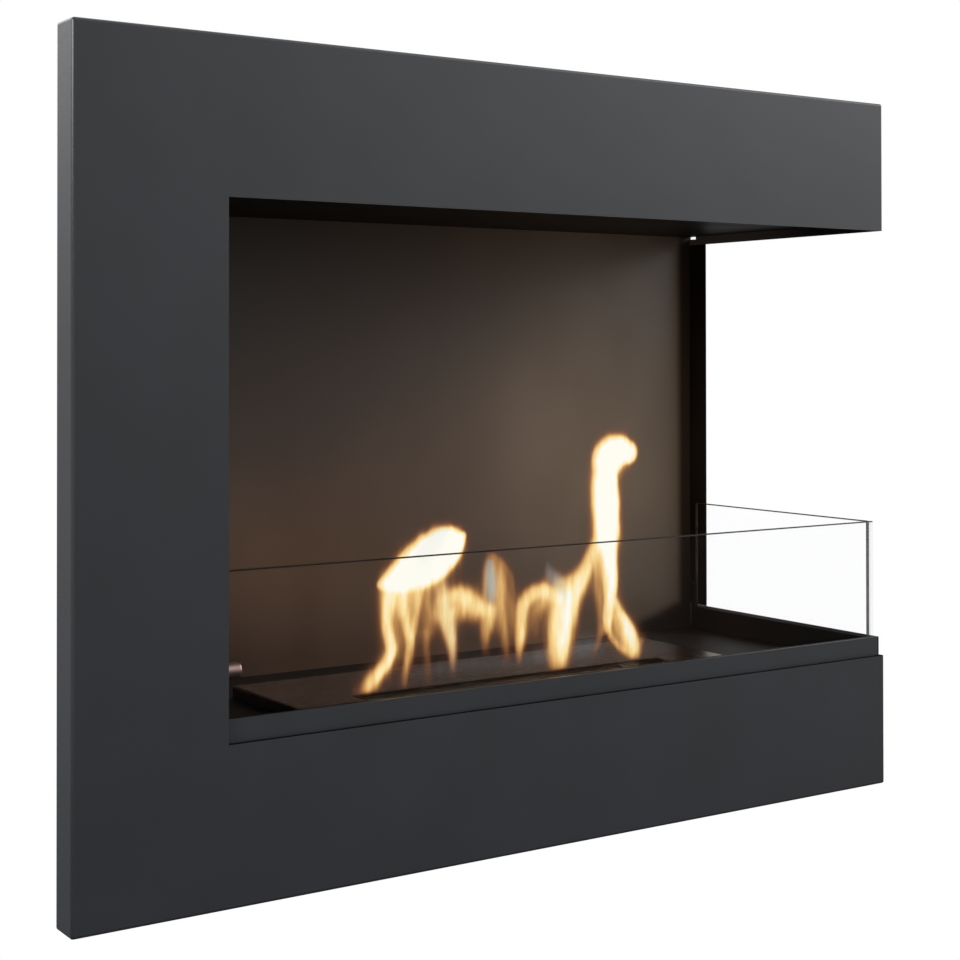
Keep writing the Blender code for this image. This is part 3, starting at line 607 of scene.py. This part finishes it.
flameLook = {
    "cell": 2.0,  # mm between the curtain's points
    "stepsPerSpan": 5,
    "planeY": 103.0,  # middle of the slot, mm behind the fascia's front
    "halfDepth": 2.0,  # mm, where it burns fully
    "sway": 3.0,  # mm to either side of the slot's middle
    "faintest": 0.02,  # below this the vapour doesn't show
    "strength": 1.0,
    "gain": 0.58,  # heat to place on the colour ramp
    "fullCover": 1.15,  # heat at which nothing shows through
    "across": (318, 742),  # mm the curtain is woven over
    "up": (140, 436),
    "plateTop": 154.9,
    "fadeIn": 6,  # mm over which it starts above the plate
    "weave": 2.5,  # how the strands add up where they meet
    "soften": 1.2,
    "haloCap": 1.3,
    "halo": 9.0,  # mm, spread of the thin vapour round the strands
    "haloHeat": 0.72,
}
# what the curtain is woven from: how sharp a strand's sides are, how blue it is, and its line as
# (mm from the fascia's left edge, mm above its bottom edge, half width in mm, heat)
flameStrands = {
    "leaf": (5.0, 0.0, [
        (373, 268, 5, 0.8), (384, 270, 11, 1.6), (398, 275, 17, 2.2), (414, 282, 22, 2.4),
        (431, 290, 25, 2.4), (447, 299, 22, 2.2), (457, 306, 17, 1.9),
    ]),
    "leafTipLeft": (3.0, 0.35, [
        (424, 296, 14, 1.6), (438, 308, 12, 1.5), (449, 318, 6, 1.1),
    ]),
    "leafTipRight": (4.0, 0.0, [
        (455, 298, 14, 1.9), (466, 306, 9, 1.7), (473, 313, 5, 1.2),
    ]),
    "leftFoot": (2.2, 0.0, [
        (343, 157, 9, 0.15), (352, 162, 11, 0.4), (361, 169, 10, 0.8), (371, 178, 8, 1.15),
        (380, 188, 7, 1.25), (385, 200, 6.5, 1.35), (383, 212, 6.5, 1.3), (380, 226, 7, 1.25),
        (381, 242, 8, 1.25), (384, 260, 9, 1.3),
    ]),
    "leftHalo": (2.0, 0.0, [
        (345, 157, 11, 0.2), (362, 166, 14, 0.34), (377, 182, 12, 0.34), (388, 200, 11, 0.3),
        (391, 225, 11, 0.32), (392, 250, 12, 0.4),
    ]),
    "forkLeft": (2.4, 0.0, [
        (400, 154, 6, 0.2), (402, 170, 6.5, 0.38), (406, 188, 5.5, 0.7), (408, 206, 5.5, 0.85),
        (403, 224, 5.5, 0.85), (399, 242, 6, 0.95), (398, 260, 7, 1.1),
    ]),
    "forkRight": (2.4, 0.0, [
        (408, 200, 4, 0.5), (410, 212, 5, 0.8), (413, 228, 5, 0.82), (416, 244, 5.5, 0.9),
        (418, 262, 6, 0.9),
    ]),
    "forkVeil": (2.0, 0.0, [
        (408, 215, 7, 0.36), (408, 235, 10, 0.5), (408, 255, 11, 0.66),
    ]),
    "dimStreak": (2.0, 0.0, [
        (430, 156, 5, 0.12), (430, 175, 6.5, 0.28), (428, 195, 7, 0.33), (426, 214, 8, 0.36),
    ]),
    "brownVeil": (2.2, 0.0, [
        (431, 216, 12, 0.33), (432, 235, 14, 0.4), (434, 256, 13, 0.42),
    ]),
    "midStreak": (2.4, 0.15, [
        (462, 163, 4, 0.1), (461, 178, 5, 0.42), (460, 195, 6, 0.8), (457, 212, 7.5, 0.98),
        (453, 228, 10, 0.95), (450, 244, 10, 0.8), (449, 258, 8, 0.6), (449, 269, 4, 0.3),
    ]),
    "midArc": (2.2, 0.0, [
        (450, 246, 9, 0.6), (462, 251, 10, 0.85), (474, 248, 12, 0.95), (487, 240, 12, 0.8),
        (500, 234, 10, 0.75),
    ]),
    "midVeil": (2.2, 0.0, [
        (444, 232, 13, 0.5), (462, 234, 14, 0.62), (482, 234, 14, 0.6), (502, 230, 12, 0.56),
    ]),
    "twinBase": (2.2, 0.0, [
        (502, 186, 6, 0.22), (503, 201, 8, 0.46), (505, 217, 9, 0.75), (507, 232, 9, 0.85),
    ]),
    "twinRim": (2.4, 0.0, [
        (499, 238, 5, 0.5), (501, 256, 5, 0.42), (502, 274, 5, 0.36), (507, 290, 5, 0.28),
    ]),
    "twinVeil": (2.4, 0.0, [
        (529, 172, 6, 0.14), (529, 192, 8, 0.36), (527, 212, 11, 0.48), (524, 235, 15, 0.54),
        (521, 255, 17, 0.54), (518, 272, 15, 0.48), (511, 287, 8, 0.36),
    ]),
    "twinSide": (2.2, 0.0, [
        (535, 200, 4, 0.24), (538, 235, 4.5, 0.36), (537, 262, 4.5, 0.36), (528, 277, 4, 0.3),
        (514, 289, 4, 0.26),
    ]),
    "twinCore": (2.4, 1.0, [
        (508, 236, 6, 0.4), (509, 252, 8, 0.75), (509, 266, 8, 0.75), (508, 281, 6, 0.5),
    ]),
    "arch": (2.4, 0.0, [
        (546, 166, 4.5, 0.12), (546, 184, 6, 0.5), (548, 200, 7.5, 0.92), (550, 218, 8, 1.0),
        (554, 233, 9, 1.0), (564, 243, 10, 1.0), (577, 246, 10, 1.0), (590, 242, 10, 1.0),
        (600, 236, 10, 1.0),
    ]),
    "archVeil": (2.0, 0.0, [
        (566, 190, 10, 0.14), (568, 205, 13, 0.32), (571, 222, 13, 0.46), (578, 232, 12, 0.6),
    ]),
    "archPeak": (2.4, 0.7, [
        (606, 240, 9, 0.8), (597, 252, 11, 0.6), (589, 264, 8, 0.42), (585, 275, 4, 0.22),
    ]),
    "saddle": (2.2, 0.2, [
        (600, 254, 6, 0.42), (614, 257, 6, 0.5), (626, 258, 6, 0.5),
    ]),
    "column": (2.6, 0.0, [
        (600, 162, 13, 0.45), (600, 172, 15, 0.85), (601, 186, 16, 1.2), (603, 202, 17, 1.3),
        (607, 220, 17, 1.4), (613, 236, 16, 1.35), (624, 250, 14, 1.15), (636, 264, 11, 1.0),
        (646, 280, 9, 0.9), (655, 297, 8, 0.9),
    ]),
    "tallStem": (4.0, 0.0, [
        (667, 196, 5, 0.6), (669, 212, 7, 1.1), (671, 230, 8, 1.3), (672, 246, 9, 1.5),
        (671, 262, 9.5, 1.7), (669, 282, 11.5, 2.0), (667, 302, 15.5, 2.2), (666, 320, 16, 2.3),
        (665, 340, 17.5, 2.3), (664, 358, 16.5, 2.3), (665, 374, 15.5, 2.3), (669, 388, 19, 2.4),
        (682, 396, 17, 2.2), (697, 394, 13, 1.8),
    ]),
    "tallHalo": (2.0, 0.0, [
        (648, 166, 4, 0.12), (654, 182, 5, 0.28), (657, 200, 5, 0.36), (656, 225, 6, 0.4),
        (654, 250, 8, 0.5), (653, 275, 8, 0.6), (655, 292, 8, 0.7),
    ]),
    "strandLeft": (2.4, 0.0, [
        (703, 166, 6, 0.5), (690, 172, 5, 0.6), (680, 180, 4.5, 0.62), (672, 192, 4.5, 0.7),
        (668, 208, 5, 0.8),
    ]),
    "strandRight": (2.4, 0.05, [
        (707, 163, 9, 0.5), (704, 175, 9, 1.3), (699, 189, 8, 1.7), (693, 202, 6.5, 1.5),
        (685, 214, 5.5, 1.0), (678, 228, 5, 0.8),
    ]),
    "strandVeil": (2.0, 0.0, [
        (692, 176, 9, 0.5), (686, 192, 9, 0.55), (680, 210, 8, 0.55),
    ]),
    "rightWisp": (2.0, 0.0, [
        (706, 168, 9, 0.45), (715, 178, 7, 0.35), (723, 186, 5, 0.15),
    ]),
    "leftWisp": (2.0, 0.0, [
        (643, 162, 2.5, 0.12), (650, 172, 3, 0.28), (657, 186, 3.5, 0.33), (661, 200, 4, 0.4),
    ]),
    "blueFoot": (2.0, 1.0, [
        (378, 166, 6, 0.05), (420, 172, 9, 0.11), (465, 176, 9, 0.13), (510, 174, 9, 0.13),
        (540, 172, 7, 0.11), (570, 176, 12, 0.19), (600, 176, 12, 0.19), (640, 180, 15, 0.22),
        (664, 178, 8, 0.1),
    ]),
}


def flameGas():
    # burning ethanol vapour: yellow-white where soot glows in it, thin and brown-orange at its rims
    material = bpy.data.materials.new("burningVapour")
    material.use_nodes = True
    tree = material.node_tree
    tree.nodes.clear()
    heat = addNode(tree, "ShaderNodeAttribute", {"attribute_name": "vapourHeat"}).outputs["Fac"]
    blue = addNode(tree, "ShaderNodeAttribute", {"attribute_name": "vapourBlue"}).outputs["Fac"]
    coord = addNode(tree, "ShaderNodeTexCoord").outputs["Object"]
    wisps = grain(tree, coord, 9, 3.0, (1, 1, 0.2))  # streaks about 9 mm wide, drawn out upwards
    glow = addNode(
        tree, "ShaderNodeMath", {"operation": "MULTIPLY"}, {0: heat, 1: between(tree, wisps, 0.75, 1.2)},
    ).outputs[0]
    dimmed = addNode(tree, "ShaderNodeMath", {"operation": "MULTIPLY", 1: flameLook["gain"]}, {0: glow})
    ramp = addNode(tree, "ShaderNodeValToRGB", links={0: dimmed.outputs[0]})
    stops = [(0.0, "#6b3a2c"), (0.13, "#97593a"), (0.28, "#d09356"), (0.45, "#f3c67e"), (0.62, "#fee6a8"),
             (0.95, "#fffdf2")]
    ramp.color_ramp.elements[0].position = stops[0][0]
    ramp.color_ramp.elements[0].color = colour(stops[0][1])
    ramp.color_ramp.elements[1].position = stops[-1][0]
    ramp.color_ramp.elements[1].color = colour(stops[-1][1])
    for position, tone in stops[1:-1]:
        ramp.color_ramp.elements.new(position).color = colour(tone)
    tint = addNode(
        tree, "ShaderNodeMix", {"data_type": "RGBA", 7: colour("#94a1a8")},
        {0: blue, 6: ramp.outputs["Color"]},
    )
    shine = addNode(
        tree, "ShaderNodeEmission", {"Strength": flameLook["strength"]}, {"Color": tint.outputs[2]},
    )
    clear = addNode(tree, "ShaderNodeBsdfTransparent")
    cover = smoothRange(tree, glow, (0.0, flameLook["fullCover"]))
    mix = addNode(
        tree, "ShaderNodeMixShader", links={0: cover, 1: clear.outputs[0], 2: shine.outputs[0]},
    )
    addNode(tree, "ShaderNodeOutputMaterial", links={"Surface": mix.outputs[0]})
    return material


def smoothLine(points):
    # a Catmull-Rom curve through the points
    steps = flameLook["stepsPerSpan"]
    known = [np.array(p, float) for p in [points[0], *points, points[-1]]]
    line = []
    for a, b, c, d in zip(known, known[1:], known[2:], known[3:]):
        for step in range(steps):
            t = step / steps
            line.append(0.5 * (2 * b + (c - a) * t + (2 * a - 5 * b + 4 * c - d) * t * t
                               + (3 * b - a - 3 * c + d) * t ** 3))
    line.append(known[-1])
    return line


def strandHeat(x, z, sharpness, points):
    # heat of one strand at every point of the curtain
    line = smoothLine(points)
    best = np.zeros_like(x)
    for a, b in zip(line, line[1:]):
        run = b[:2] - a[:2]
        t = np.clip(((x - a[0]) * run[0] + (z - a[1]) * run[1]) / max(run @ run, 1e-9), 0, 1)
        away = np.hypot(x - a[0] - t * run[0], z - a[1] - t * run[1])
        width = a[2] + (b[2] - a[2]) * t
        best = np.maximum(best, (a[3] + (b[3] - a[3]) * t) * np.exp(-((away / width) ** sharpness)))
    return best


def blurred(field, spread):
    # a Gaussian blur, spread in cells
    reach = int(spread * 3)
    weights = np.exp(-0.5 * (np.arange(-reach, reach + 1) / spread) ** 2)
    weights /= weights.sum()
    for axis in (0, 1):
        field = np.apply_along_axis(lambda row: np.convolve(row, weights, mode="same"), axis, field)
    return field


def buildFlames(material):
    # the strands are woven into one closed curtain, thick where it burns hot and thin at its rims
    cell = flameLook["cell"]
    weave = flameLook["weave"]
    across = np.arange(*flameLook["across"], cell)
    up = np.arange(*flameLook["up"], cell)
    x, z = np.meshgrid(across, up, indexing="ij")
    heat, blue = np.zeros_like(x), np.zeros_like(x)
    for sharpness, blueness, points in flameStrands.values():
        own = strandHeat(x, z, sharpness, points) ** weave
        heat += own
        blue += own * blueness
    heat = blurred(heat ** (1 / weave), flameLook["soften"] / cell) ** weave
    capped = np.minimum(heat ** (1 / weave), flameLook["haloCap"])
    halo = blurred(capped, flameLook["halo"] / cell) * flameLook["haloHeat"]
    heat += halo ** weave
    blue = np.divide(blue, heat, out=np.zeros_like(heat), where=heat > 1e-9)
    heat = heat ** (1 / weave)
    # nothing burns below the plate
    heat *= np.clip((z - flameLook["plateTop"]) / flameLook["fadeIn"], 0, 1)
    faintest = flameLook["faintest"]
    depth = flameLook["halfDepth"] * np.sqrt(np.clip(heat - faintest, 0, 1))
    body = bmesh.new()
    heatLayer = body.verts.layers.float.new("vapourHeat")
    blueLayer = body.verts.layers.float.new("vapourBlue")
    sides = ({}, {})
    for i in range(len(across)):
        for k in range(len(up)):
            sway = noise.noise(Vector((across[i] / 45, 0, up[k] / 70))) * flameLook["sway"]
            for side, sign in zip(sides, (-1, 1)):
                if side is sides[1] and depth[i, k] == 0:
                    side[i, k] = sides[0][i, k]
                    continue
                y = flameLook["planeY"] + sway + sign * depth[i, k]
                vert = body.verts.new(place(across[i], y, up[k]))
                vert[heatLayer] = heat[i, k]
                vert[blueLayer] = blue[i, k]
                side[i, k] = vert
    for i in range(len(across) - 1):
        for k in range(len(up) - 1):
            corners = ((i, k), (i + 1, k), (i + 1, k + 1), (i, k + 1))
            if not any(depth[c] for c in corners):
                continue
            body.faces.new([sides[0][c] for c in corners]).smooth = True
            body.faces.new([sides[1][c] for c in reversed(corners)]).smooth = True
    bmesh.ops.delete(body, geom=[v for v in body.verts if not v.link_faces], context="VERTS")
    mesh = bpy.data.meshes.new("flameCurtain")
    body.to_mesh(mesh)
    body.free()
    curtain = bpy.data.objects.new("flameCurtain", mesh)
    scene.collection.objects.link(curtain)
    mesh.materials.append(material)
    curtain.visible_shadow = False
    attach(curtain, "burner_unit")


buildFlames(flameGas())

fireLight = {
    "behind": 14,  # mm behind the slot's middle, so that the slot stays dark
    "panels": [  # x, z, width and height in mm, watts, tone
        (395, 265, 90, 110, 0.38, "#ff9f60"), (500, 265, 90, 90, 0.05, "#ff9a5c"),
        (600, 240, 90, 110, 0.12, "#ff9458"), (675, 330, 60, 200, 0.16, "#ff9458"),
        (850, 370, 80, 240, 1.95, "#ffdabc"),
    ],
    "rim": (695, 230, 0.24, "#ffb884"),
}
for number, (x, z, width, height, power, tone) in enumerate(fireLight["panels"], 1):
    lampData = bpy.data.lights.new(f"fireLight{number}", "AREA")
    lampData.shape = "RECTANGLE"
    lampData.size, lampData.size_y = width * mm, height * mm
    lampData.energy = power
    lampData.color = linear(tone)
    lamp = bpy.data.objects.new(f"fireLight{number}", lampData)
    lamp.location = place(x, flameLook["planeY"] + fireLight["behind"], z)
    lamp.rotation_euler = (math.radians(90), 0, 0)  # it faces the back wall
    lamp.visible_glossy = False
    lamp.visible_camera = False
    scene.collection.objects.link(lamp)
rimX, rimZ, rimPower, rimTone = fireLight["rim"]
rimData = bpy.data.lights.new("fireRim", "POINT")
rimData.energy = rimPower
rimData.color = linear(rimTone)
rimData.shadow_soft_size = 0.03
rim = bpy.data.objects.new("fireRim", rimData)
rim.location = place(rimX, flameLook["planeY"], rimZ)
rim.visible_glossy = False
scene.collection.objects.link(rim)
print("flames are lit")
